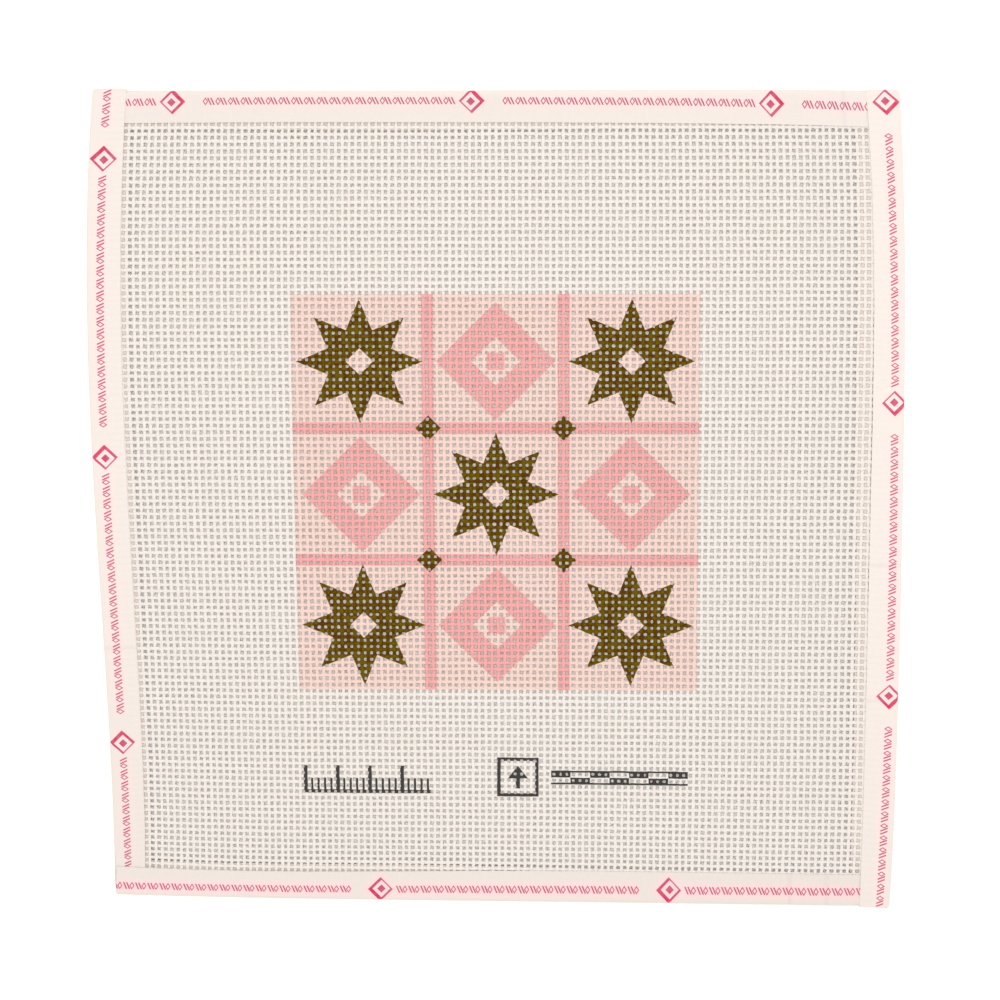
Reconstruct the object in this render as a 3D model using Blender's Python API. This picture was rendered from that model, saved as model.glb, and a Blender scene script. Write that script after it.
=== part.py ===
"""Needlepoint canvas panel: a square of mono canvas, bound on its four edges with folded tape.

The panel lies flat. +X runs to the right of its print, +Y to the top and +Z up. The origin is on the surface
that the panel lies on, under the middle of its outline. Each piece is drawn in flat cloth coordinates (u, v),
measured from the middle of the cloth, and is then laid out as unevenly as handled cloth lies.
"""

import bmesh
import bpy
import numpy as np

# ---- driving dimensions, in metres ----
PITCH = 0.0254 / 12  # mono canvas, 12 threads to the inch
CANVAS_THREADS = (120, 123)  # across and down: 10 by 10 1/4 inches
CANVAS_THICK = 0.0010
TAPE_THICK = 0.0010
GAP = 0.0003  # between pieces that touch on the real panel
TAPE_FRONT = 0.0103  # how far each tape reaches over the front
TAPE_BACK = 0.0125  # and under the back
TAPE_BACK_RIGHT = 0.0144  # the right tape is folded less evenly
TAPE_END_PROUD = 0.0006  # a tape that laps a corner ends this far past the other tape's fold
FOLD_RADIUS = 0.0009  # outside the fold, above and below
INNER_RADIUS = 0.0002

RIM = TAPE_THICK + GAP  # from the canvas's cut edge to the outside of the fold
CANVAS_HALF = (CANVAS_THREADS[0] * PITCH / 2, CANVAS_THREADS[1] * PITCH / 2)
HALF = (CANVAS_HALF[0] + RIM, CANVAS_HALF[1] + RIM)  # over the tapes
CANVAS_Z = TAPE_THICK + GAP
FRONT_Z = CANVAS_Z + CANVAS_THICK + GAP  # underside of the tape's front leg
HEIGHT = FRONT_Z + TAPE_THICK

# How far each edge strays as the panel lies, in millimetres along +X (left, right) or +Y (bottom, top), at
# its two ends, its quarters and its middle. Left and right run from bottom to top, the others from left to
# right.
EDGE_STRAY = {
    "left": (0.9, 0.9, -1.3, -2.1, 1.8),
    "right": (-0.4, 0.3, 0.2, 0.1, -3.4),
    "bottom": (3.5, 1.3, 0.9, 0.0, -0.5),
    "top": (-0.3, -0.4, -0.7, -1.0, -1.3),
}
STRAY_FADE = 4  # the power by which a stray dies away across the cloth

# ---- how finely the curves are cut ----
CANVAS_CELLS = 24
TAPE_STEPS = 28
FOLD_STEPS = 3

# ---- finish ----
CANVAS_COLOUR = (0.90, 0.87, 0.80, 1.0)
TAPE_COLOUR = (0.93, 0.82, 0.77, 1.0)
CLOTH_ROUGHNESS = 0.9


def edge_curve(side):
    """A smooth curve, in metres, through one edge's five stray values, for places from 0 to 1 along it."""
    strays = np.array(EDGE_STRAY[side]) / 1000
    return np.polyfit(np.linspace(0, 1, len(strays)), strays, len(strays) - 1)


CURVES = {side: edge_curve(side) for side in EDGE_STRAY}


def laid(u, v, z):
    """Where the flat cloth's point (u, v) lies."""
    across = np.clip((u / HALF[0] + 1) / 2, 0, 1)
    up = np.clip((v / HALF[1] + 1) / 2, 0, 1)
    x = u + np.polyval(CURVES["left"], up) * (1 - across) ** STRAY_FADE
    x = x + np.polyval(CURVES["right"], up) * across**STRAY_FADE
    y = v + np.polyval(CURVES["bottom"], across) * (1 - up) ** STRAY_FADE
    y = y + np.polyval(CURVES["top"], across) * up**STRAY_FADE
    return (x, y, z)


def cloth_material(name, colour):
    material = bpy.data.materials.new(name)
    material.use_nodes = True
    shader = material.node_tree.nodes["Principled BSDF"]
    shader.inputs["Base Color"].default_value = colour
    shader.inputs["Roughness"].default_value = CLOTH_ROUGHNESS
    shader.inputs["Metallic"].default_value = 0.0
    return material


def add_object(name, builder, material):
    """An object of the finished bmesh."""
    bmesh.ops.recalc_face_normals(builder, faces=builder.faces)
    mesh = bpy.data.meshes.new(name)
    builder.to_mesh(mesh)
    builder.free()
    mesh.materials.append(material)
    item = bpy.data.objects.new(name, mesh)
    bpy.context.scene.collection.objects.link(item)
    return item


def make_canvas(material):
    """The canvas, one flat sheet. Its holes are about 1 mm wide, so the solid isn't pierced."""
    builder = bmesh.new()
    bmesh.ops.create_grid(builder, x_segments=CANVAS_CELLS, y_segments=CANVAS_CELLS, size=1.0)
    for vertex in builder.verts:
        u = vertex.co.x * CANVAS_HALF[0]
        v = vertex.co.y * CANVAS_HALF[1]
        vertex.co = laid(u, v, CANVAS_Z)
    canvas = add_object("canvas", builder, material)
    thickness = canvas.modifiers.new("Thickness", "SOLIDIFY")
    thickness.thickness = CANVAS_THICK
    thickness.offset = 1.0
    return canvas


def tape_section(back):
    """The folded tape's section, from the back leg's tip round the fold to the front leg's tip: a list of
    pairs, each a point of the outer face and the point of the inner face behind it. A point is its distance in
    from the fold and its height."""
    lower = []
    for turn in np.linspace(0, np.pi / 2, FOLD_STEPS + 1):
        outer = (FOLD_RADIUS * (1 - np.sin(turn)), FOLD_RADIUS * (1 - np.cos(turn)))
        inner_depth = TAPE_THICK + INNER_RADIUS * (1 - np.sin(turn))
        inner = (inner_depth, TAPE_THICK + INNER_RADIUS * (1 - np.cos(turn)))
        lower.append((outer, inner))
    upper = [tuple((depth, HEIGHT - z) for depth, z in pair) for pair in reversed(lower)]
    back_tip = ((back, 0.0), (back, TAPE_THICK))
    front_tip = ((TAPE_FRONT, HEIGHT), (TAPE_FRONT, FRONT_Z))
    return [back_tip] + lower + upper + [front_tip]


def make_tape(side, back, front_ends, back_ends, material):
    """One length of tape folded over an edge. Each pair of ends gives where its front and back legs start and
    stop, along the edge. A leg that meets a tape across its way stops just short of it."""
    on_flank = side in ("left", "right")
    outward = 1 if side in ("right", "top") else -1
    fold = outward * HALF[0 if on_flank else 1]
    builder = bmesh.new()

    def vertex(depth, z, step):
        start, stop = front_ends if z > HEIGHT / 2 else back_ends
        along = start + (stop - start) * step / TAPE_STEPS
        inward = fold - outward * depth
        u, v = (inward, along) if on_flank else (along, inward)
        return builder.verts.new(laid(u, v, z))

    rings = []
    for step in range(TAPE_STEPS + 1):
        rings.append([[vertex(*point, step) for point in pair] for pair in tape_section(back)])
    for before, after in zip(rings, rings[1:]):
        for skin in (0, 1):
            for i in range(len(before) - 1):
                builder.faces.new((before[i][skin], before[i + 1][skin], after[i + 1][skin], after[i][skin]))
        for tip in (0, -1):
            builder.faces.new((before[tip][0], before[tip][1], after[tip][1], after[tip][0]))
    for ring in (rings[0], rings[-1]):
        for i in range(len(ring) - 1):
            builder.faces.new((ring[i][0], ring[i + 1][0], ring[i + 1][1], ring[i][1]))
    return add_object("tape_" + side, builder, material)


def make_tapes(material):
    """The right tape runs on over both of its corners, the left tape over its top one, and the bottom tape over
    its left one."""
    past_x = HALF[0] + TAPE_END_PROUD
    past_y = HALF[1] + TAPE_END_PROUD
    front_x = HALF[0] - TAPE_FRONT - GAP
    front_y = HALF[1] - TAPE_FRONT - GAP
    back_x = HALF[0] - TAPE_BACK - GAP
    back_y = HALF[1] - TAPE_BACK - GAP
    back_right = HALF[0] - TAPE_BACK_RIGHT - GAP
    return [
        make_tape("left", TAPE_BACK, (-front_y, past_y), (-back_y, past_y), material),
        make_tape("right", TAPE_BACK_RIGHT, (-past_y, past_y), (-past_y, past_y), material),
        make_tape("bottom", TAPE_BACK, (-past_x, front_x), (-past_x, back_right), material),
        make_tape("top", TAPE_BACK, (-front_x, front_x), (-back_x, back_right), material),
    ]


def centre(pieces):
    """Moves the pieces together, so that the middle of their outline is over the origin."""
    corners = [vertex.co for piece in pieces for vertex in piece.data.vertices]
    xs = [corner.x for corner in corners]
    ys = [corner.y for corner in corners]
    for piece in pieces:
        piece.location = (-(min(xs) + max(xs)) / 2, -(min(ys) + max(ys)) / 2, 0.0)


def main():
    for old in list(bpy.data.objects):
        bpy.data.objects.remove(old, do_unlink=True)
    canvas = make_canvas(cloth_material("canvas", CANVAS_COLOUR))
    tapes = make_tapes(cloth_material("binding_tape", TAPE_COLOUR))
    centre([canvas] + tapes)


main()
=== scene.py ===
"""Looks of the needlepoint canvas panel.

The solids give way here to finer pieces of the same form. The canvas becomes its woven threads, in four
pieces that each hold the warp or the weft of one half, and each tape becomes a thin folded cloth that laps
its neighbours at the corners. Everything is drawn in flat cloth coordinates (u, v), measured from the
middle of the cloth, and is then laid out as the solids are. A tape's own coordinates are its place along
the edge and its depth in from the fold.
"""

import math

import bpy
import numpy as np
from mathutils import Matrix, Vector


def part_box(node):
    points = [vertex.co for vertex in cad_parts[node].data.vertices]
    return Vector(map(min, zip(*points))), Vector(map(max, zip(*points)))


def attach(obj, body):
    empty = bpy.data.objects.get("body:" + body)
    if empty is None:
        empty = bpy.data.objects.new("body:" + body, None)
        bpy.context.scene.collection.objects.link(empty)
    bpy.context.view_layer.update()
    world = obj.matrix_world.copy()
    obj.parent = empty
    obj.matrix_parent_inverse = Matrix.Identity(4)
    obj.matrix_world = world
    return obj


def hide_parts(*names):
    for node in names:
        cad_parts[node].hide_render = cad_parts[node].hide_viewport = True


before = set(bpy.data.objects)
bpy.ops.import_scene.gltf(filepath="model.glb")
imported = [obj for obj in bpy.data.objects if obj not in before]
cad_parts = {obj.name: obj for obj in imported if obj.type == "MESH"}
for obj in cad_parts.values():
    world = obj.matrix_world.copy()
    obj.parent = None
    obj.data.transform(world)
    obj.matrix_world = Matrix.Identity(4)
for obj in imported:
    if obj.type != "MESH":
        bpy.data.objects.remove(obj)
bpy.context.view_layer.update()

MM = 0.001
SEED = 20

# ---- the cloth, as its solids are sized ----
PITCH = 0.0254 / 12  # mono canvas, 12 threads to the inch
CANVAS_THREADS = (120, 123)  # across and down
CANVAS_HALF = (CANVAS_THREADS[0] * PITCH / 2, CANVAS_THREADS[1] * PITCH / 2)
RIM = 1.3 * MM  # from the canvas's cut edge to the outside of the fold
HALF = (CANVAS_HALF[0] + RIM, CANVAS_HALF[1] + RIM)
EDGE_STRAY = {  # mm, left and right from bottom to top, bottom and top from left to right
    "left": (0.9, 0.9, -1.3, -2.1, 1.8),
    "right": (-0.4, 0.3, 0.2, 0.1, -3.4),
    "bottom": (3.5, 1.3, 0.9, 0.0, -0.5),
    "top": (-0.3, -0.4, -0.7, -1.0, -1.3),
}
STRAY_FADE = 4  # the power by which a stray dies away across the cloth
SOLID_CANVAS_CELLS = 24  # its solid's outline has this many steps a side

# ---- the threads ----
THREADS = (119, 123)  # warps and wefts; an odd number of warps, so that one lies on the middle line
WARP_CLOSER = 0.9957  # the warps' spacing, in pitches
WEFT_SHIFT = -0.3 * PITCH  # of the wefts, from where they would be even about the middle
WEFT_HOLD = 15 * MM  # how near the bottom edge the shift dies away
CROSSING_WIDTH = 0.76 * PITCH  # a thread is flattened where it crosses another
THREAD_WIDTH = 0.50 * PITCH  # and narrower beside a hole
THREAD_HEIGHT = 0.26 * MM
HEIGHT_SHARES = (0.96, 1.04)  # of that, at a crossing and beside a hole
CRIMP = 0.06 * MM  # how far a thread rises or dips as it crosses another
EDGE_HEIGHT = 1.9 * MM  # of the canvas's middle plane inside the folds
LYING_HEIGHT = 1.10 * MM  # and where it lies clear of them
SLOPE_LENGTH = 8 * MM
THREAD_SIDES = 6
THREAD_DRIFT = 0.04  # how far a thread slowly strays along its way, in pitches
THREAD_JITTER = 0.03  # and from ring to ring
WIDTH_DRIFT = 0.10  # the same of its width, as shares
WIDTH_JITTER = 0.06
DRIFT_KNOTS = 5  # crossings between the places where a slow change is drawn
HALF_CANVAS = CRIMP + THREAD_HEIGHT / 2  # half the weave's thickness

# ---- the tapes ----
TAPE_FRONT = 10.4 * MM  # the front leg's width, in the tape's own coordinates
TAPE_CLOTH = 0.26 * MM  # thickness
TAPE_REST = 0.02 * MM  # clearance between one tape and another at a corner
FRONT_PRESS = 0.08 * MM  # how far a leg is pressed into the weave
BACK_PRESS = 0.14 * MM
FOLD_DEPTH = 1.3 * MM  # how far in the fold is round
PUFF = 1.15 * MM  # how much a leg stands off at the fold
PUFF_LENGTH = 9 * MM  # and how far on it lies flat
PUFF_FALL = 1.6  # the power by which it comes down to there
PUFF_RIPPLE = 0.2  # how much that standing off varies along the tape, as a share
RIPPLE_LENGTHS = (61, 34, 19)  # mm
FRONT_WAVER = 0.05 * MM  # how much the front and the back leg's cut edges waver
BACK_WAVER = 0.1 * MM
WAVER_LENGTHS = (83, 41, 17)  # mm
CREASE_WIDTH = 1.3 * MM
CREASE_DENT = 0.3 * MM  # at the fold
CREASE_INSET = 0.05 * MM
LAP_LENGTH = 12 * MM  # over which a tape rises to lap another, or comes down to lie under it
BACK_SHORT = 1.2 * MM  # how much sooner the back leg ends
END_ROUND = 1.0 * MM  # and how much sooner the fold's outermost line ends than the legs
CURVE_DEGREE = 4  # of the curves along which a tape's fold and edges lie
TAPE_CELL = 1.0 * MM
RIM_CELL = 0.12 * MM  # the last cell before a cut edge
FOLD_CELLS = 5  # in each quarter of the fold

# ---- colours, linear ----
COTTON = (0.612, 0.568, 0.526, 1)
TAPE_CREAM = (0.617, 0.555, 0.508, 1)
# painted shade: the tape's inside and its back leg, seen through the holes above it, are painted this darker
# tan
TAPE_INSIDE_SHADE = (0.53, 0.445, 0.385, 1)
PALE_PINK = (0.626, 0.464, 0.410, 1)
MID_PINK = (0.612, 0.286, 0.272, 1)
OLIVE = (0.102, 0.067, 0.0014, 1)
BROWN_OLIVE = (0.071, 0.027, 0.0009, 1)
BLACK_INK = (0.041, 0.036, 0.033, 1)
INK_SOAKS = (1.0, 0.9, 0.5, 0.4)  # how far the pale, the pink, the olive and the black go through
ROW_INK = (0.41, 0.045, 0.115, 1)
MEDALLION_INK = (0.46, 0.008, 0.068, 1)
HALO_PINK = (0.86, 0.455, 0.50, 1)

# ---- the printed quilt, in threads from the middle of the cloth ----
PRINT_LEFT = -30.7
PRINT_BOTTOM = -28.5
PRINT_SIZE = (61.0, 60.5)
BLOCKS = 3  # a side
STAR_TIP = 0.93  # in half blocks, as are the diamonds
STAR_EYE = 0.20
DIAMOND = 0.88
DIAMOND_EYE = 0.36
DIAMOND_SEED = 0.13
SASH = 0.045  # half width, in blocks
KNOT = 0.095  # from its middle to its tips, in blocks
INK_EDGE = 0.05  # blur of an ink's edge, in threads
BLEED = 0.16  # how far an ink's edge wanders, in threads
BLEED_GRAIN = 1.1

# ---- the black marks, in threads ----
GAUGE = {"left": -30.5, "right": -10.5, "bottom": -45.0, "top": -40.6}
ARROW = {"left": -0.3, "right": 6.1, "bottom": -45.4, "top": -39.2}
BAR = {"left": 8.0, "right": 29.0, "bottom": -43.4, "top": -41.2}
TICK = 0.18  # half width of a tick, as are the next two
FIFTH_TICK = 0.3
ARROW_SHAFT = 0.32
TICK_HEIGHT = 2.4
BASELINE = 0.55
ARROW_FRAME = (2.65, 2.55)  # from the arrow's middle to its frame's line, across and up
ARROW_MIDDLE = 3.1  # height above the frame's foot
ARROW_HEAD = (2.9, 4.9)  # foot and tip above the frame's foot
ARROW_SLOPE = 1.3
SHAFT_RISE = (1.3, 3.2)
CHECKS = 6  # length of two checks of the bar
RAIL = 0.8  # from the bar's middle line to its rails

# ---- the tape's print, in mm ----
UNIT = 94.6  # from medallion to medallion
MEDALLION = 4.1  # from a medallion's middle to its tips
MEDALLION_STROKE = 1.15
MEDALLION_SHIFT = (0.35, 0.2)  # of its inside, which makes two of its sides thick and two thin
MEDALLION_EYE = 1.4
MEDALLION_FADE = (-1.0, 5.0)  # where its ink changes and over what length
MARKS_FROM = 5.1  # where the stitches and lozenges start, after a medallion
MARKS_TO = 85.1
MARK_PITCH = 4.0
STITCHES = (0.75, 1.75)  # where the two stitches of each step are
STITCH_SLANT = 0.45
STITCH = 0.25  # half width
STITCH_RISE = 1.15  # half height
LOZENGE_AT = 3.0
LOZENGE = 1.05  # half height
LOZENGE_NARROW = 1.5
LOZENGE_STROKE = 0.28
ROW_EDGE = 0.10  # blur of the ink's edge
ROW_BLEED = 0.12  # how far it wanders
TAPE_CLOUD = 1.6  # grain of that and of the cloth's clouds
HALO = (2.0, 2.4)  # half height of the pink round the row, and its blur
MEDALLION_HALO = (1.5, 3.0)  # how far it reaches past a medallion, and its blur
CREASE_LINE = (0.6, 1.0)  # half width of a crease's shade, and its blur
CREASE_WANDER = 2
CREASE_SHADE = 0.05

# ---- how the cloths and their inks vary ----
THREAD_TONES = 0.012  # in brightness, from thread to thread
FLECKS = 0.10  # and along a thread
FLECK_GRAIN = 0.35
BROWN_GRAIN = 0.6  # of the olive ink's browner places
BROWN_FROM = (0.5, 0.14)
BROWN_APART = 40  # how far apart in that noise two threads of unlike tone lie
UPPER_SIDE = (-0.5, 0.8)  # where round a thread the upper side ends, and its blur
TAPE_CLOUDS = 0.03  # in brightness, over a tape
TAPE_SOAK = (0.78, 0.3)  # the least that the tape takes of its ink, and how much more in places

# ---- the relief ----
THREAD_RELIEF = 0.06 * MM
PLY_TWIST = 0.62  # turns of the plies in each pitch
PLIES = 3
FIBRE_TWIST = 0.4
FIBRE_GRAIN = 0.05
TAPE_RELIEF = 0.03 * MM
TAPE_YARN = 0.42  # mm, from yarn to yarn of the tape
TAPE_FIBRE = 0.25
IMPRINT_FROM = (4.5, 1.5)  # the depth, in mm, from which the canvas's threads show through, and its blur

# ---- the room ----
CAMERA_PLACE = (16.94 * MM, 82.54 * MM, 636.25 * MM)  # from the middle of the cloth
CAMERA_TURN = (-7.24, 1.44, -0.19)  # degrees
LENS = 72  # mm
SENSOR = 36  # mm
FLOOR_REACH = 3.0  # metres from its middle to its sides
FLOOR_COLOUR = (0.97, 0.94, 0.91, 1)
SKY_STRENGTH = 1.42
LAMP_PLACE = (0.0, 0.42, 0.75)
LAMP_SIZE = 0.5
LAMP_POWER = 1.5  # watts


# ======== where the cloth lies ========
CURVES = {
    side: np.polyfit(np.linspace(0, 1, len(strays)), np.array(strays) * MM, len(strays) - 1)
    for side, strays in EDGE_STRAY.items()
}


def laid(u, v):
    """Where the flat cloth's points lie, from the middle of the cloth."""
    across = np.clip((u / HALF[0] + 1) / 2, 0, 1)
    up = np.clip((v / HALF[1] + 1) / 2, 0, 1)
    x = u + np.polyval(CURVES["left"], up) * (1 - across) ** STRAY_FADE
    x = x + np.polyval(CURVES["right"], up) * across**STRAY_FADE
    y = v + np.polyval(CURVES["bottom"], across) * (1 - up) ** STRAY_FADE
    y = y + np.polyval(CURVES["top"], across) * up**STRAY_FADE
    return x, y


def find_middle():
    """Where the middle of the cloth is in the part's frame, from the canvas's solid."""
    steps = np.linspace(-1, 1, SOLID_CANVAS_CELLS + 1)
    u, v = np.meshgrid(steps * CANVAS_HALF[0], steps * CANVAS_HALF[1])
    x, y = laid(u, v)
    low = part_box("canvas")[0]
    return (low[0] - x.min(), low[1] - y.min())


MIDDLE = find_middle()


def placed(u, v, z):
    """The flat cloth's points at a height, in the part's frame."""
    x, y = laid(u, v)
    return np.stack([x + MIDDLE[0], y + MIDDLE[1], z], axis=-1)


# ======== meshes ========
def quad_mesh(name, points, quads, material, maps, tones=None):
    """An object of quads. maps gives each UV map's name and its values for each corner of each quad."""
    mesh = bpy.data.meshes.new(name)
    mesh.vertices.add(len(points))
    mesh.vertices.foreach_set("co", points.astype(np.float32).ravel())
    mesh.loops.add(quads.size)
    mesh.loops.foreach_set("vertex_index", quads.astype(np.int32).ravel())
    mesh.polygons.add(len(quads))
    mesh.polygons.foreach_set("loop_start", np.arange(0, quads.size, 4, dtype=np.int32))
    mesh.update(calc_edges=True)
    mesh.shade_smooth()
    for map_name, values in maps.items():
        mesh.uv_layers.new(name=map_name).data.foreach_set("uv", values.astype(np.float32).ravel())
    if tones is not None:
        mesh.attributes.new("tone", "FLOAT", "POINT").data.foreach_set("value", tones.astype(np.float32))
    mesh.materials.append(material)
    item = bpy.data.objects.new(name, mesh)
    bpy.context.scene.collection.objects.link(item)
    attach(item, "root")
    return item


def drifting(random, threads, rings, spread):
    """For each ring of each thread, a random value that changes smoothly along the thread."""
    knots = rings // (2 * DRIFT_KNOTS) + 2
    drawn = random.uniform(-spread, spread, (threads, knots))
    places = np.linspace(0, knots - 1, rings)
    return np.stack([np.interp(places, np.arange(knots), own) for own in drawn])


def canvas_height(u, v):
    """Height of the canvas's middle plane. The folds hold its edges up, and it slopes down between them."""
    clear = 1.0
    for place, half in ((u, CANVAS_HALF[0]), (v, CANVAS_HALF[1])):
        depth = np.maximum(half - abs(place), 0)
        clear = clear * (1 - np.exp(-((depth / SLOPE_LENGTH) ** 2)))
    return EDGE_HEIGHT + (LYING_HEIGHT - EDGE_HEIGHT) * clear


def weave(name, is_warp, numbers, material, random):
    """The canvas's warp or weft threads of these numbers, counted from the left or the bottom. A thread has
    a ring of points at each crossing and one between each two."""
    own_count, crossed_count = THREADS if is_warp else THREADS[::-1]
    rings = 2 * crossed_count + 1
    ring = np.arange(rings)
    is_crossing = ring % 2 == 1
    parity = np.where((numbers[:, None] + (ring - 1) // 2) % 2 == 0, 1, -1)
    over = np.where(is_crossing, parity, 0) * (1 if is_warp else -1)

    shape = (len(numbers), rings)
    across = numbers[:, None] - (own_count - 1) / 2 + drifting(random, *shape, THREAD_DRIFT)
    across = (across + random.uniform(-THREAD_JITTER, THREAD_JITTER, shape)) * PITCH
    along = np.broadcast_to((ring - crossed_count) / 2 * PITCH, shape)
    width = np.where(is_crossing, CROSSING_WIDTH, THREAD_WIDTH)
    swell = drifting(random, *shape, WIDTH_DRIFT) + random.uniform(-WIDTH_JITTER, WIDTH_JITTER, shape)
    width = width * (1 + swell)
    height = THREAD_HEIGHT * np.where(is_crossing, *HEIGHT_SHARES)

    turn = np.arange(THREAD_SIDES) * 2 * math.pi / THREAD_SIDES
    across = across[..., None] + np.cos(turn) * width[..., None] / 2
    along = np.broadcast_to(along[..., None], across.shape)
    u, v = (across, along) if is_warp else (along, across)
    u = u * WARP_CLOSER
    v = v + WEFT_SHIFT * (1 - np.exp(-(((v + CANVAS_HALF[1]) / WEFT_HOLD) ** 4)))
    z = canvas_height(u, v) + (over * CRIMP)[..., None] + np.sin(turn) * height[..., None] / 2
    points = placed(u, v, z).reshape(-1, 3)

    index = np.arange(u.size).reshape(u.shape)
    turned = np.roll(index, -1, axis=2)
    sides = np.stack([index[:, :-1], turned[:, :-1], turned[:, 1:], index[:, 1:]], axis=-1).reshape(-1, 4)
    first, last = index[:, 0], index[:, -1]
    caps = [first[:, [3, 2, 1, 0]], first[:, [5, 4, 3, 0]], last[:, [0, 1, 2, 3]], last[:, [0, 3, 4, 5]]]
    quads = np.concatenate([sides] + caps)
    if is_warp:
        quads = quads[:, ::-1]

    flat_u, flat_v = u.ravel() / PITCH, v.ravel() / PITCH
    cloth = np.stack([flat_u[quads], flat_v[quads]], axis=-1)
    side = quads % THREAD_SIDES
    is_last_side = side.max(axis=1, keepdims=True) > THREAD_SIDES - 2
    around = np.where((side == 0) & is_last_side, THREAD_SIDES, side)
    thread = np.stack([(along.ravel() / PITCH)[quads], around / THREAD_SIDES], axis=-1)
    # the map for baking, with the upper side of the threads in one half and the lower side in the other
    spread = cloth - cloth.reshape(-1, 2).min(axis=0)
    spread = spread / spread.reshape(-1, 2).max(axis=0)
    is_back = around.mean(axis=1) > THREAD_SIDES / 2
    halved = 0 if is_warp else 1
    spread[..., halved] = spread[..., halved] * 0.49 + np.where(is_back, 0.505, 0.005)[:, None]

    tones = np.repeat(random.uniform(-1, 1, len(numbers)), rings * THREAD_SIDES)
    maps = {"cloth": cloth, "thread": thread, "OFBake": spread}
    piece = quad_mesh(name, points, quads, material, maps, tones)
    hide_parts("canvas")


# ======== tapes ========
# Each tape, as seen from the front, in mm. ends is how far its two ends reach past the corners of the
# cloth's outline, the first at the left or the bottom, and laps says which end lies over the other tape of
# its corner. insets is how far in from the solid's fold its own fold lies, and fronts and backs are how far
# in the edges of its two legs lie, at evenly spaced places along it. print_depths is how deep in its
# printed row lies at its ends and middle, and shades how bright its cloth is painted there, as painted
# shade that is darkest on the bottom tape and at the lower ends of the side tapes. halo is how pink the
# cloth is round the row's ink. medallion is where one medallion of the row is, and reads is 1 or -1, for
# which way the row runs. creases are where it was folded across.
TAPES = {
    "left": {
        "ends": (-1.7, 0.6),
        "laps": (False, True),
        "insets": (0.9, 0.0, 0.35, 0.1, -0.25, 0.45, -0.1),
        "fronts": (10.8, 10.6, 10.5, 10.3, 10.3, 10.5, 10.9),
        "backs": (12.3, 12.2, 12.2, 12.2, 12.2, 12.2, 12.3),
        "print_depths": (4.6, 3.9, 4.7),
        "halo": 0.16,
        "medallion": 15.8,
        "reads": -1,
        "creases": (-47,),
        "shades": (0.945, 0.99, 0.985),
    },
    "right": {
        "ends": (-0.2, 0.0),
        "laps": (True, True),
        "insets": (0.4, -0.1, -0.4, -0.2, -0.4, 0.5, -0.2),
        "fronts": (10.2, 9.9, 9.8, 9.5, 9.5, 9.9, 10.7),
        "backs": (13.4, 13.5, 13.5, 13.7, 14.2, 14.4, 14.2),
        "print_depths": (3.8, 3.2, 4.8),
        "halo": 0.18,
        "medallion": 33.0,
        "reads": 1,
        "creases": (-63, -19),
        "shades": (0.97, 1.015, 1.01),
    },
    "bottom": {
        "ends": (-1.4, -1.7),
        "laps": (True, False),
        "insets": (-0.9, 0.3, -0.3, 0.0, 0.4, 0.25, 0.3),
        "fronts": (9.1, 9.1, 9.4, 10.0, 10.5, 10.5, 10.5),
        "backs": (11.5, 11.6, 11.7, 11.5, 11.0, 10.5, 10.5),
        "print_depths": (3.9, 4.5, 5.1),
        "halo": 0.45,
        "medallion": -39.1,
        "reads": 1,
        "creases": (95, 107),
        "shades": (0.93, 0.925, 0.91),
    },
    "top": {
        "ends": (-1.7, -1.7),
        "laps": (False, False),
        "insets": (0.1, -0.1, 0.3, 0.2, -0.4, 0.15, 0.4),
        "fronts": (10.0, 9.8, 9.8, 9.9, 10.0, 10.6, 11.7),
        "backs": (10.9, 11.9, 12.3, 12.2, 11.8, 11.3, 10.8),
        "print_depths": (3.9, 3.4, 5.0),
        "halo": 0.18,
        "medallion": -7.6,
        "reads": -1,
        "creases": (110,),
        "shades": (0.96, 0.965, 0.975),
    },
}


def smooth_step(value):
    """0 below 0, 1 above 1, and a soft rise between."""
    value = np.clip(value, 0, 1)
    return value * value * (3 - 2 * value)


def leg_shares(length):
    """Shares from 1 at the start of a tape's leg to 2 at its cut edge."""
    shares = np.linspace(1, 2, round(length / TAPE_CELL) + 1)
    return np.insert(shares, -1, 2 - RIM_CELL / length)


def tape_section(back):
    """The tape's section from the back tip round to the front tip, with cells for a back leg of this
    width. For each point, its share of the way in from the fold's outside (0) through the end of the round
    fold (1) to the tip (2), and its face, from -1 at the back to 1 at the front."""
    back_leg = leg_shares(back - FOLD_DEPTH)[::-1]
    front_leg = leg_shares(TAPE_FRONT - FOLD_DEPTH)
    angles = np.linspace(0, math.pi / 2, FOLD_CELLS + 1)[1:]
    fold = 1 - np.sin(angles)
    lift = np.cos(angles)
    share = np.concatenate([back_leg, fold, fold[::-1][1:], front_leg])
    face = np.concatenate([-np.ones(len(back_leg)), -lift, lift[::-1][1:], np.ones(len(front_leg))])
    return share, face


def waves(along, lengths, phases):
    """A slow ripple from -1 to 1, the mean of sine waves of these lengths in mm."""
    turns = [np.sin(along / (length * MM) * 2 * math.pi + phase) for length, phase in zip(lengths, phases)]
    return sum(turns) / len(turns)


def curve(along, reach, values):
    """The smooth curve that comes nearest to values in mm, at evenly spaced places from -reach to reach."""
    places = np.linspace(-1, 1, len(values))
    factors = np.polyfit(places, np.array(values) * MM, CURVE_DEGREE)
    return np.polyval(factors, np.clip(along / reach, -1, 1))


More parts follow.
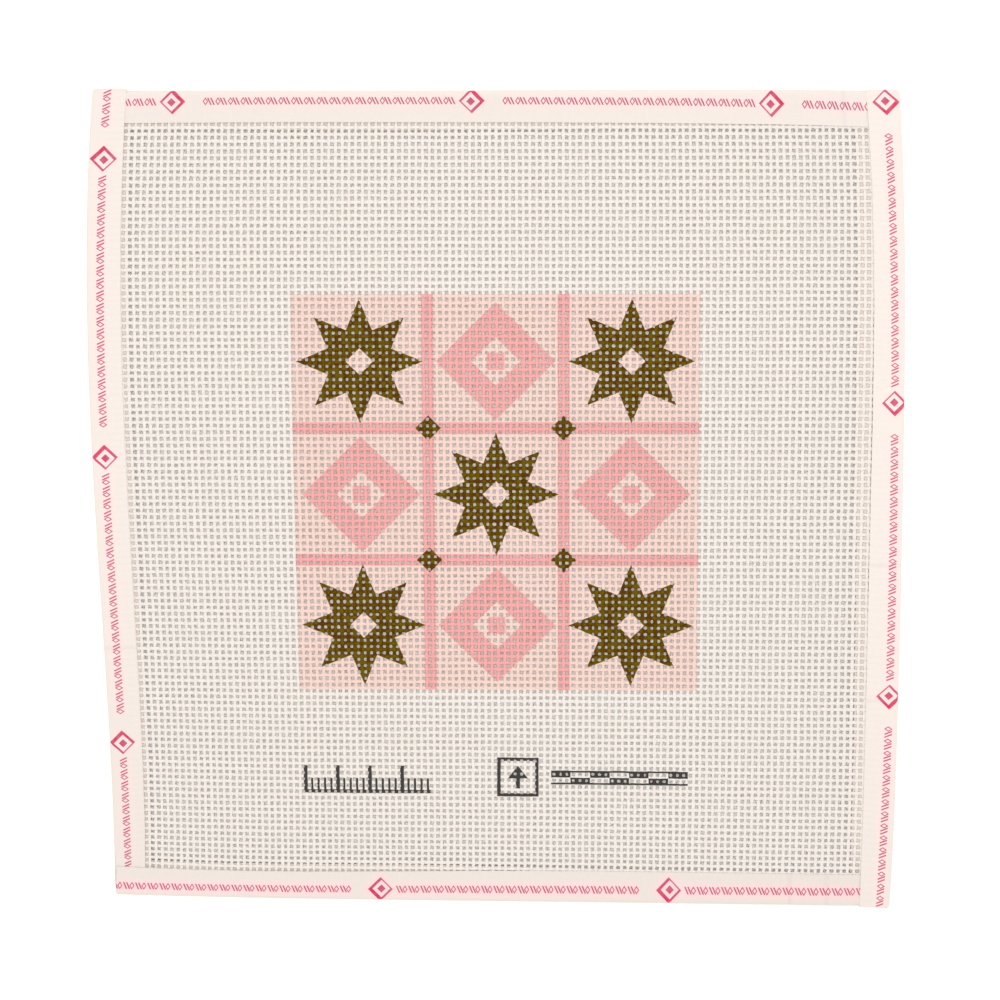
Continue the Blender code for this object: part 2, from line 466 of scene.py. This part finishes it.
def tape(side, facts, material, random):
    """One length of tape, folded over its edge."""
    on_flank = side in ("left", "right")
    outward = 1 if side in ("right", "top") else -1
    edge = HALF[0 if on_flank else 1]
    reach = HALF[1 if on_flank else 0]
    start, stop = -reach - facts["ends"][0] * MM, reach + facts["ends"][1] * MM
    along = np.linspace(start, stop, round((stop - start) / TAPE_CELL) + 1)
    along = np.insert(along, (1, -1), (start + RIM_CELL, stop - RIM_CELL))[:, None]

    share, face = tape_section(facts["backs"][3] * MM)
    is_front = face > 0
    phases = random.uniform(0, 2 * math.pi, len(RIPPLE_LENGTHS) + len(WAVER_LENGTHS))
    ripple = waves(along, RIPPLE_LENGTHS, phases)
    waver = waves(along, WAVER_LENGTHS, phases[len(RIPPLE_LENGTHS) :])
    crease = sum(np.exp(-(((along - at * MM) / CREASE_WIDTH) ** 2)) for at in facts["creases"])
    fold = curve(along, reach, facts["insets"])
    front = curve(along, reach, facts["fronts"]) + FRONT_WAVER * waver
    back = curve(along, reach, facts["backs"]) - BACK_WAVER * waver
    tip = np.where(is_front, front, back) - fold
    leg = (tip - FOLD_DEPTH) * np.maximum(share - 1, 0)
    depth = fold + FOLD_DEPTH * np.minimum(share, 1) + leg + CREASE_INSET * crease

    lap = np.zeros_like(along)
    tuck = np.zeros_like(along)
    for laps, at in zip(facts["laps"], (start, stop)):
        near = smooth_step(1.5 - abs(along - at) / LAP_LENGTH)
        if laps:
            lap = lap + near
        else:
            tuck = tuck + near
    shortened = np.where(is_front, 0, BACK_SHORT) + END_ROUND * (1 - np.minimum(share, 1)) ** 2
    run = along * (1 - shortened / reach)
    across = outward * (edge - TAPE_CLOTH / 2 - depth)
    run = np.broadcast_to(run, across.shape)
    middle = canvas_height(across, run) if on_flank else canvas_height(run, across)
    flat = np.minimum(leg / PUFF_LENGTH, 1)
    puffed = PUFF * (1 - tuck) * (1 + PUFF_RIPPLE * ripple) * (1 - flat) ** PUFF_FALL
    press = np.where(is_front, FRONT_PRESS, BACK_PRESS)
    puffed = puffed - press * flat - CREASE_DENT * crease * (1 - flat) * is_front
    stand = HALF_CANVAS + TAPE_CLOTH / 2 + lap * (TAPE_CLOTH + TAPE_REST) + puffed
    z = middle + face * stand
    z = np.maximum(z, TAPE_CLOTH / 2)

    # the section's outward normal, to give the cloth its thickness
    slope_depth = np.gradient(depth, axis=1)
    slope_z = np.gradient(z, axis=1)
    length = np.hypot(slope_depth, slope_z)
    skins = []
    for sign in (1, -1):
        shift = sign * TAPE_CLOTH / 2
        shifted = across + outward * shift * slope_z / length
        u, v = (shifted, run) if on_flank else (run, shifted)
        skins.append(placed(u, v, np.maximum(z + shift * slope_depth / length, 0)))
    points = np.stack(skins).reshape(-1, 3)

    steps, cells = depth.shape
    index = np.arange(2 * steps * cells).reshape(2, steps, cells)
    outer, inner = index
    quads = [
        np.stack([outer[:-1, :-1], outer[:-1, 1:], outer[1:, 1:], outer[1:, :-1]], axis=-1).reshape(-1, 4),
        np.stack([inner[:-1, :-1], inner[1:, :-1], inner[1:, 1:], inner[:-1, 1:]], axis=-1).reshape(-1, 4),
    ]
    for rim_outer, rim_inner in (
        (outer[:, -1], inner[:, -1]),
        (outer[::-1, 0], inner[::-1, 0]),
        (outer[0], inner[0]),
        (outer[-1, ::-1], inner[-1, ::-1]),
    ):
        quads.append(np.stack([rim_outer[:-1], rim_inner[:-1], rim_inner[1:], rim_outer[1:]], axis=-1))
    quads = np.concatenate(quads)
    if (outward > 0) == on_flank:
        quads = quads[:, ::-1]

    # the tape's own coordinates, whose depth is below 0 on the back leg and on the whole inside
    developed = np.concatenate([[0], np.cumsum(np.hypot(np.diff(depth.mean(0)), np.diff(z.mean(0))))])
    developed = developed - developed[-1] + TAPE_FRONT
    cloth = np.stack([run, np.broadcast_to(developed, run.shape)], axis=-1) / MM
    corners = np.stack([cloth, cloth]).reshape(-1, 2)[quads]
    is_inner = (quads >= steps * cells).all(axis=1)
    # the map for baking, with the outside of the tape in one half and the inside in the other
    spread = corners - corners.reshape(-1, 2).min(axis=0)
    spread = spread / spread.reshape(-1, 2).max(axis=0) * (1, 0.49)
    spread[is_inner, :, 1] += 0.505
    corners[is_inner, :, 1] = -abs(corners[is_inner, :, 1])
    piece = quad_mesh("binding_" + side, points, quads, material, {"tape": corners, "OFBake": spread})
    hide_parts("tape_" + side)
    stop - start


# ======== materials ========
class Field:
    """A number that varies over a surface, for writing a material's formulas with."""

    def __init__(self, tree, socket):
        self.tree = tree
        self.socket = socket

    def math(self, operation, *others, clamp=False):
        node = self.tree.nodes.new("ShaderNodeMath")
        node.operation = operation
        node.use_clamp = clamp
        for slot, value in zip(node.inputs, (self, *others)):
            if isinstance(value, Field):
                self.tree.links.new(value.socket, slot)
            else:
                slot.default_value = value
        return Field(self.tree, node.outputs[0])

    def __add__(self, other):
        return self.math("ADD", other)

    def __sub__(self, other):
        return self.math("SUBTRACT", other)

    def __mul__(self, other):
        return self.math("MULTIPLY", other)

    def __mod__(self, other):
        return self.math("FLOORED_MODULO", other)

    def __and__(self, other):
        return self.math("MINIMUM", other)

    def __or__(self, other):
        return self.math("MAXIMUM", other)

    def flip(self):
        """One minus this."""
        return (self * -1) + 1

    def abs(self):
        return self.math("ABSOLUTE")

    def floor(self):
        return self.math("FLOOR")

    def wave(self, length):
        """A sine wave of that length, from -1 to 1."""
        return (self * (2 * math.pi / length)).math("SINE")

    def below(self, edge, blur):
        """1 where this is below the edge, 0 above it, with a soft change."""
        return (self * (-1 / blur)).math("ADD", edge / blur + 0.5, clamp=True)

    def above(self, edge, blur):
        return (self * (1 / blur)).math("ADD", 0.5 - edge / blur, clamp=True)

    def bent(self, values):
        """The even curve through three values, for -1, 0 and 1."""
        first, halfway, last = values
        return (self * (last - first) + self * self * (first + last - 2 * halfway)) * 0.5 + halfway

    def within(self, low, high, blur):
        return (self - (low + high) / 2).abs().below((high - low) / 2, blur)


class Material:
    """A Principled material whose colour and relief are built up with formulas."""

    def __init__(self, name, roughness, specular, sheen):
        self.data = bpy.data.materials.new(name)
        self.data.use_nodes = True
        self.tree = self.data.node_tree
        self.shader = self.tree.nodes["Principled BSDF"]
        self.shader.inputs["Roughness"].default_value = roughness
        self.shader.inputs["Specular IOR Level"].default_value = specular
        self.shader.inputs["Sheen Weight"].default_value = sheen

    def map(self, name):
        """A UV map's two coordinates."""
        source = self.tree.nodes.new("ShaderNodeUVMap")
        source.uv_map = name
        parts = self.tree.nodes.new("ShaderNodeSeparateXYZ")
        self.tree.links.new(source.outputs["UV"], parts.inputs[0])
        return Field(self.tree, parts.outputs[0]), Field(self.tree, parts.outputs[1])

    def attribute(self, name):
        source = self.tree.nodes.new("ShaderNodeAttribute")
        source.attribute_name = name
        return Field(self.tree, source.outputs["Fac"])

    def noise(self, x, y, size, detail=2.0, part="Fac"):
        """Noise over two coordinates, of that grain size, from 0 to 1. Colour gives three such noises."""
        place = self.tree.nodes.new("ShaderNodeCombineXYZ")
        self.tree.links.new(x.socket, place.inputs[0])
        self.tree.links.new(y.socket, place.inputs[1])
        noise = self.tree.nodes.new("ShaderNodeTexNoise")
        noise.inputs["Scale"].default_value = 1 / size
        noise.inputs["Detail"].default_value = detail
        self.tree.links.new(place.outputs[0], noise.inputs["Vector"])
        if part == "Fac":
            return Field(self.tree, noise.outputs["Fac"])
        parts = self.tree.nodes.new("ShaderNodeSeparateXYZ")
        self.tree.links.new(noise.outputs["Color"], parts.inputs[0])
        return [Field(self.tree, output) for output in parts.outputs]

    def mixed(self, share, under, over):
        """The colour under where share is 0, and over where it is 1."""
        node = self.tree.nodes.new("ShaderNodeMix")
        node.data_type = "RGBA"
        self.tree.links.new(share.socket, node.inputs["Factor"])
        for slot, colour in ((node.inputs[6], under), (node.inputs[7], over)):
            if isinstance(colour, tuple):
                slot.default_value = colour
            else:
                self.tree.links.new(colour, slot)
        return node.outputs[2]

    def shaded(self, colour, brightness):
        """The colour times a brightness."""
        node = self.tree.nodes.new("ShaderNodeHueSaturation")
        self.tree.links.new(brightness.socket, node.inputs["Value"])
        self.tree.links.new(colour, node.inputs["Color"])
        return node.outputs[0]

    def finish(self, colour, relief, relief_height):
        """Links up the colour and the relief, and gives Blender's material."""
        self.tree.links.new(colour, self.shader.inputs["Base Color"])
        bump = self.tree.nodes.new("ShaderNodeBump")
        bump.inputs["Distance"].default_value = relief_height
        self.tree.links.new(relief.socket, bump.inputs["Height"])
        self.tree.links.new(bump.outputs[0], self.shader.inputs["Normal"])
        return self.data


def framed(x, y, place):
    """1 inside an upright rectangle."""
    is_across = x.within(place["left"], place["right"], INK_EDGE)
    return is_across & y.within(place["bottom"], place["top"], INK_EDGE)


def quilt_inks(x, y):
    """How far each ink of the printed quilt covers a point of the cloth: the whole print, mid pink and
    olive. It has eight-pointed stars in every other block and diamonds in the rest, with a thin sash
    between."""
    blur = INK_EDGE / (PRINT_SIZE[0] / BLOCKS)
    x = (x - PRINT_LEFT) * (BLOCKS / PRINT_SIZE[0])
    y = (y - PRINT_BOTTOM) * (BLOCKS / PRINT_SIZE[1])
    printed = x.within(0, BLOCKS, blur) & y.within(0, BLOCKS, blur)
    has_diamond = (x.floor() + y.floor()) % 2
    side_x = ((x % 1) * 2 - 1).abs()
    side_y = ((y % 1) * 2 - 1).abs()
    near = side_x | side_y
    far = side_x & side_y
    taxi = near + far
    star = (near | taxi * math.sqrt(0.5)) + (far & (near - far) * math.sqrt(0.5)) * (1 + math.sqrt(2))
    star_ink = star.below(STAR_TIP, 2 * blur) & taxi.above(STAR_EYE, 2 * blur) & has_diamond.flip()
    ring = taxi.below(DIAMOND, 2 * blur) & taxi.above(DIAMOND_EYE, 2 * blur)
    seed = near.below(DIAMOND_SEED, 2 * blur)
    sash_x = (x - 1).abs() & (x - 2).abs()
    sash_y = (y - 1).abs() & (y - 2).abs()
    sash = (sash_x & sash_y).below(SASH, blur)
    knot = (sash_x + sash_y).below(KNOT, blur)
    pink = ((ring | seed) & has_diamond) | sash
    return printed, pink & printed, (star_ink | knot) & printed


def black_marks(x, y):
    """A gauge with a tick on every thread, longer on every fifth, a framed arrow and a checkered bar."""
    from_left = x - GAUGE["left"]
    every = (from_left % 1 - 0.5).abs().below(TICK, INK_EDGE)
    fifth = (from_left % 5 - 0.5).abs().below(FIFTH_TICK, INK_EDGE)
    height = y - GAUGE["bottom"]
    short = every & height.below(TICK_HEIGHT, INK_EDGE)
    ticks = short | fifth | height.below(BASELINE, INK_EDGE)
    gauge = ticks & framed(x, y, GAUGE)

    aside = (x - (ARROW["left"] + ARROW["right"]) / 2).abs()
    rise = y - ARROW["bottom"]
    sides = aside.above(ARROW_FRAME[0], INK_EDGE)
    ends = (rise - ARROW_MIDDLE).abs().above(ARROW_FRAME[1], INK_EDGE)
    edge = (sides | ends) & framed(x, y, ARROW)
    head = (aside * ARROW_SLOPE + rise).below(ARROW_HEAD[1], INK_EDGE) & rise.above(ARROW_HEAD[0], INK_EDGE)
    shaft = aside.below(ARROW_SHAFT, INK_EDGE) & rise.within(*SHAFT_RISE, INK_EDGE)

    level = y - (BAR["bottom"] + BAR["top"]) / 2
    step = (x - BAR["left"]) % CHECKS
    upper = step.below(CHECKS / 2, INK_EDGE) & level.above(0, INK_EDGE)
    lower = step.above(CHECKS / 2, INK_EDGE) & level.below(0, INK_EDGE)
    rails = level.abs().above(RAIL, INK_EDGE)
    bar = (upper | lower | rails) & framed(x, y, BAR)
    return gauge | edge | head | shaft | bar


def thread_material():
    """Cream cotton thread, twisted of plies, and printed on its upper side."""
    material = Material("canvas_thread", roughness=0.9, specular=0.03, sheen=0.02)
    u, v = material.map("cloth")
    along, around = material.map("thread")
    tone = material.attribute("tone")
    bleed_x, bleed_y, _ = material.noise(u, v, BLEED_GRAIN, part="Color")
    x = u + (bleed_x - 0.5) * BLEED
    y = v + (bleed_y - 0.5) * BLEED
    printed, pink, olive = quilt_inks(x, y)
    black = black_marks(x, y)

    upper = around.wave(1).above(*UPPER_SIDE)
    brown = material.noise(along, tone * BROWN_APART, BROWN_GRAIN).above(*BROWN_FROM)
    fleck = material.noise(along, around, FLECK_GRAIN, detail=3)
    shade = (tone * THREAD_TONES + 1) + (fleck - 0.5) * FLECKS
    olives = material.mixed(brown, OLIVE, BROWN_OLIVE)
    colour = COTTON
    inks = ((printed, PALE_PINK), (pink, MID_PINK), (olive, olives), (black, BLACK_INK))
    for (ink, over), soak in zip(inks, INK_SOAKS):
        colour = material.mixed(ink & (upper * (1 - soak) + soak), colour, over)
    colour = material.shaded(colour, shade)
    plies = (along * PLY_TWIST + around).wave(1 / PLIES) * 0.5
    fibres = material.noise(along * FIBRE_TWIST + around, around, FIBRE_GRAIN)
    return material.finish(colour, plies + fibres * 0.5, THREAD_RELIEF)


def tape_material(side, facts):
    """Fine cream cotton tape, printed with a row of stitches and lozenges and a diamond medallion a unit."""
    material = Material("binding_" + side, roughness=0.85, specular=0.2, sheen=0.2)
    along, depth = material.map("tape")
    wander_x, wander_y, cloud = material.noise(along, depth, TAPE_CLOUD, part="Color")
    x = (along - facts["medallion"]) * facts["reads"] + (wander_x - 0.5) * ROW_BLEED
    place = along * (MM / CANVAS_HALF[1])
    y = depth - place.bent(facts["print_depths"]) + (wander_y - 0.5) * ROW_BLEED

    unit = x % UNIT
    row = unit.within(MARKS_FROM, MARKS_TO, ROW_EDGE)
    step = (unit - MARKS_FROM) % MARK_PITCH
    first, second = [(step + y * STITCH_SLANT - at).abs().below(STITCH, ROW_EDGE) for at in STITCHES]
    stitch = (first | second) & y.abs().below(STITCH_RISE, ROW_EDGE)
    lozenge = ((step - LOZENGE_AT).abs() * LOZENGE_NARROW + y.abs() - LOZENGE).abs()
    marks = (stitch | lozenge.below(LOZENGE_STROKE, ROW_EDGE)) & row

    off = (x + UNIT / 2) % UNIT - UNIT / 2
    taxi = off.abs() + y.abs()
    inside = (off - MEDALLION_SHIFT[0]).abs() + (y - MEDALLION_SHIFT[1]).abs()
    outline = taxi.below(MEDALLION, ROW_EDGE) & inside.above(MEDALLION - MEDALLION_STROKE, ROW_EDGE)
    medallion = outline | inside.below(MEDALLION_EYE, ROW_EDGE)
    medallion_ink = material.mixed((off + y).above(*MEDALLION_FADE), MEDALLION_INK, ROW_INK)
    halo = (y.abs().below(*HALO) & row) | taxi.below(MEDALLION + MEDALLION_HALO[0], MEDALLION_HALO[1])

    soak = cloud * TAPE_SOAK[1] + TAPE_SOAK[0]
    # painted shade: each tape's cloth is painted darker or lighter along it by its shades; the clouds are
    # the cloth's own
    shade = place.bent(facts["shades"]) + (cloud - 0.5) * TAPE_CLOUDS
    for at in facts["creases"]:
        aside = (along - at + (wander_x - 0.5) * CREASE_WANDER).abs()
        shade = shade - aside.below(*CREASE_LINE) * CREASE_SHADE
    # painted shade: where the depth is below 0, on the back leg and the whole inside, the cloth is painted
    # the darker tan
    cream = material.mixed(depth.below(0, 0.1), TAPE_CREAM, TAPE_INSIDE_SHADE)
    colour = material.mixed(halo * facts["halo"], cream, HALO_PINK)
    colour = material.mixed(marks & soak, colour, ROW_INK)
    colour = material.shaded(material.mixed(medallion & soak, colour, medallion_ink), shade)
    yarns = along.wave(TAPE_YARN) + depth.wave(TAPE_YARN)
    imprint = along.wave(PITCH / MM) * depth.above(*IMPRINT_FROM) * 1.5
    fibres = material.noise(along, depth, TAPE_FIBRE)
    return material.finish(colour, yarns * 0.25 + imprint + fibres * 0.4, TAPE_RELIEF)


# ======== the room ========
def studio():
    """A white sheet to lie on, even light from all round and a soft lamp beyond the top edge."""
    mesh = bpy.data.meshes.new("floor")
    corners = [(x * FLOOR_REACH, y * FLOOR_REACH, 0) for x, y in ((-1, -1), (1, -1), (1, 1), (-1, 1))]
    mesh.from_pydata(corners, [], [(0, 1, 2, 3)])
    floor = bpy.data.objects.new("floor", mesh)
    bpy.context.scene.collection.objects.link(floor)
    paper = Material("paper", roughness=0.95, specular=0.1, sheen=0)
    paper.shader.inputs["Base Color"].default_value = FLOOR_COLOUR
    mesh.materials.append(paper.data)

    world = bpy.data.worlds.new("studio")
    world.use_nodes = True
    world.node_tree.nodes["Background"].inputs["Color"].default_value = (1.0, 1.0, 1.0, 1)
    world.node_tree.nodes["Background"].inputs["Strength"].default_value = SKY_STRENGTH
    bpy.context.scene.world = world

    light = bpy.data.lights.new("key", "AREA")
    light.size = LAMP_SIZE
    light.energy = LAMP_POWER
    lamp = bpy.data.objects.new("key", light)
    lamp.location = LAMP_PLACE
    lamp.rotation_euler = aim(LAMP_PLACE)
    bpy.context.scene.collection.objects.link(lamp)
    bpy.context.scene.view_settings.view_transform = "Standard"


def aim(place):
    """The turn that points a lamp at the origin."""
    x, y, z = place
    return (math.atan2(math.hypot(x, y), z), 0, math.atan2(x, -y))


def set_camera():
    data = bpy.data.cameras.new("camera")
    data.lens = LENS
    data.sensor_width = SENSOR
    data.clip_start = 0.01
    camera = bpy.data.objects.new("camera", data)
    camera.location = (CAMERA_PLACE[0] + MIDDLE[0], CAMERA_PLACE[1] + MIDDLE[1], CAMERA_PLACE[2])
    camera.rotation_euler = [math.radians(angle) for angle in CAMERA_TURN]
    bpy.context.scene.collection.objects.link(camera)
    bpy.context.scene.camera = camera


def main():
    random = np.random.default_rng(SEED)
    thread = thread_material()
    warps, wefts = (np.arange(count) for count in THREADS)
    weave("canvas_warp_left", True, warps[: len(warps) // 2], thread, random)
    weave("canvas_warp_right", True, warps[len(warps) // 2 :], thread, random)
    weave("canvas_weft_bottom", False, wefts[: len(wefts) // 2], thread, random)
    weave("canvas_weft_top", False, wefts[len(wefts) // 2 :], thread, random)
    for side, facts in TAPES.items():
        tape(side, facts, tape_material(side, facts), random)
    studio()
    set_camera()


main()
